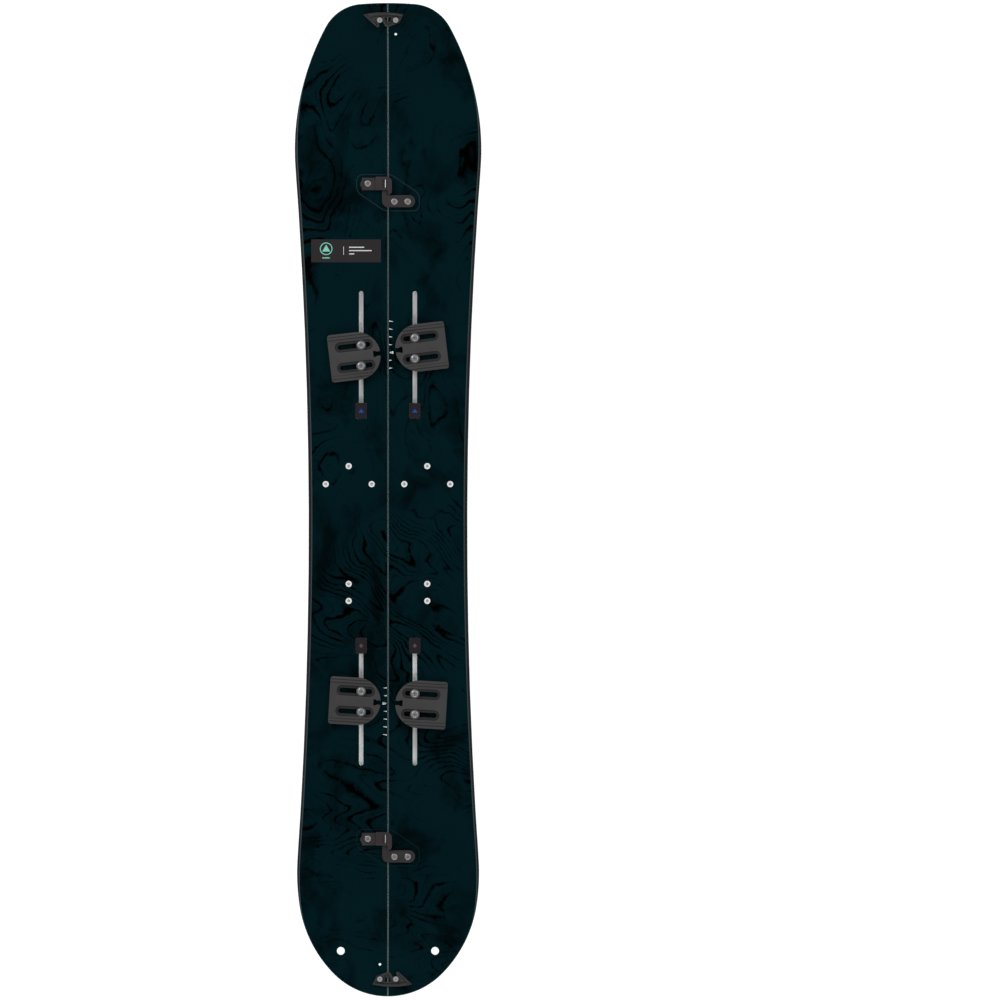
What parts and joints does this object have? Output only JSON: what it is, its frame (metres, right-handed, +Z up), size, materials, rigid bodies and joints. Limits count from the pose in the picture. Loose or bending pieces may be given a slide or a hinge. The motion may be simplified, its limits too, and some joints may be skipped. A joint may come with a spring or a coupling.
{
  "type": "splitboard",
  "caption": "Snowboard that splits lengthwise into two touring skis, with sliding binding pucks in channels, seam hooks that interlock and swinging tip clips.",
  "frame": {"origin": "middle of the board's box, at the level of its two contact lines", "axes": "+Y towards the nose, +Z up from the base, +X to the right when looking along +Y at the topsheet"},
  "size_m": [0.2978, 1.5808, 0.0527],
  "materials": {
    "base_plastic": "sintered, waxed",
    "edge_steel": "ground",
    "glass_laminate": "resin-filled glass cloth",
    "core_wood": "laminated strips",
    "sidewall_plastic": "milled",
    "topsheet_film": "satin, marbled",
    "insert_steel": "zinc plated",
    "bush_metal": "satin",
    "channel_metal": "satin",
    "plug_plastic": "moulded",
    "hook_metal": "dark anodised",
    "clip_metal": "dark anodised",
    "post_steel": "turned",
    "screw_steel": "zinc plated",
    "puck_plastic": "moulded, fine grain"
  },
  "bodies": {
    "left_ski": {"left_base": "base_plastic", "left_steel_edge": "edge_steel", "left_lower_laminate": "glass_laminate", "left_core": "core_wood", "left_sidewalls": "sidewall_plastic", "left_upper_laminate": "glass_laminate", "left_topsheet": "topsheet_film", "left_inserts": "insert_steel", "left_post_nuts": "insert_steel", "left_tail_bush": "bush_metal", "left_front_channel": "channel_metal", "left_rear_channel": "channel_metal", "left_front_plug": "plug_plastic", "left_rear_plug": "plug_plastic", "left_front_hook": "hook_metal", "left_rear_hook": "hook_metal", "left_front_hook_screws": "screw_steel", "left_rear_hook_screws": "screw_steel", "nose_catch_post": "post_steel", "tail_pivot_post": "post_steel"},
    "right_ski": {"right_base": "base_plastic", "right_steel_edge": "edge_steel", "right_lower_laminate": "glass_laminate", "right_core": "core_wood", "right_sidewalls": "sidewall_plastic", "right_upper_laminate": "glass_laminate", "right_topsheet": "topsheet_film", "right_inserts": "insert_steel", "right_post_nuts": "insert_steel", "right_tail_bush": "bush_metal", "right_front_channel": "channel_metal", "right_rear_channel": "channel_metal", "right_front_plug": "plug_plastic", "right_rear_plug": "plug_plastic", "right_front_hook": "hook_metal", "right_rear_hook": "hook_metal", "right_front_hook_screws": "screw_steel", "right_rear_hook_screws": "screw_steel", "nose_pivot_post": "post_steel", "tail_catch_post": "post_steel"},
    "nose_clip": {"nose_clip": "clip_metal"},
    "tail_clip": {"tail_clip": "clip_metal"},
    "left_front_fixings": {"left_front_puck_screws": "screw_steel", "left_front_washers": "screw_steel", "left_front_channel_nuts": "insert_steel"},
    "left_front_puck": {"left_front_puck": "puck_plastic"},
    "left_rear_fixings": {"left_rear_puck_screws": "screw_steel", "left_rear_washers": "screw_steel", "left_rear_channel_nuts": "insert_steel"},
    "left_rear_puck": {"left_rear_puck": "puck_plastic"},
    "right_front_fixings": {"right_front_puck_screws": "screw_steel", "right_front_washers": "screw_steel", "right_front_channel_nuts": "insert_steel"},
    "right_front_puck": {"right_front_puck": "puck_plastic"},
    "right_rear_fixings": {"right_rear_puck_screws": "screw_steel", "right_rear_washers": "screw_steel", "right_rear_channel_nuts": "insert_steel"},
    "right_rear_puck": {"right_rear_puck": "puck_plastic"}
  },
  "joints": [
    {"name": "ski_release", "type": "slide", "parent": "left_ski", "child": "right_ski", "axis": [0, -1, 0], "range_m": [0, 0.024]},
    {"name": "nose_clip_swing", "type": "hinge", "parent": "right_ski", "child": "nose_clip", "pos_m": [0.0127, 0.76428, 0.04621], "axis": [0, 0.3005, -0.9538], "range_deg": [0, 180]},
    {"name": "tail_clip_swing", "type": "hinge", "parent": "left_ski", "child": "tail_clip", "pos_m": [-0.0127, -0.76358, 0.0317], "axis": [0, -0.2255, -0.9742], "range_deg": [0, 180]},
    {"name": "left_front_stance", "type": "slide", "parent": "left_ski", "child": "left_front_fixings", "axis": [0, 1, -0.0083], "range_m": [-0.054, 0.079]},
    {"name": "left_front_offset", "type": "slide", "parent": "left_front_fixings", "child": "left_front_puck", "axis": [0.9932, 0.1167, -0.001], "range_m": [-0.0112, 0.0085]},
    {"name": "left_rear_stance", "type": "slide", "parent": "left_ski", "child": "left_rear_fixings", "axis": [0, 0.9999, 0.0102], "range_m": [-0.079, 0.055]},
    {"name": "left_rear_offset", "type": "slide", "parent": "left_rear_fixings", "child": "left_rear_puck", "axis": [0.9982, -0.0593, -0.0006], "range_m": [-0.0118, 0.0085]},
    {"name": "right_front_stance", "type": "slide", "parent": "right_ski", "child": "right_front_fixings", "axis": [0, 1, -0.0083], "range_m": [-0.065, 0.068]},
    {"name": "right_front_offset", "type": "slide", "parent": "right_front_fixings", "child": "right_front_puck", "axis": [-0.9932, -0.1167, 0.001], "range_m": [-0.0112, 0.0085]},
    {"name": "right_rear_stance", "type": "slide", "parent": "right_ski", "child": "right_rear_fixings", "axis": [0, 0.9999, 0.0102], "range_m": [-0.075, 0.059]},
    {"name": "right_rear_offset", "type": "slide", "parent": "right_rear_fixings", "child": "right_rear_puck", "axis": [-0.9982, 0.0593, 0.0006], "range_m": [-0.0118, 0.0085]}
  ],
  "couplings": [
    {"joint": "nose_clip_swing", "follows": "ski_release", "rad_per_m": 130.85},
    {"joint": "tail_clip_swing", "follows": "ski_release", "rad_per_m": 130.85}
  ]
}
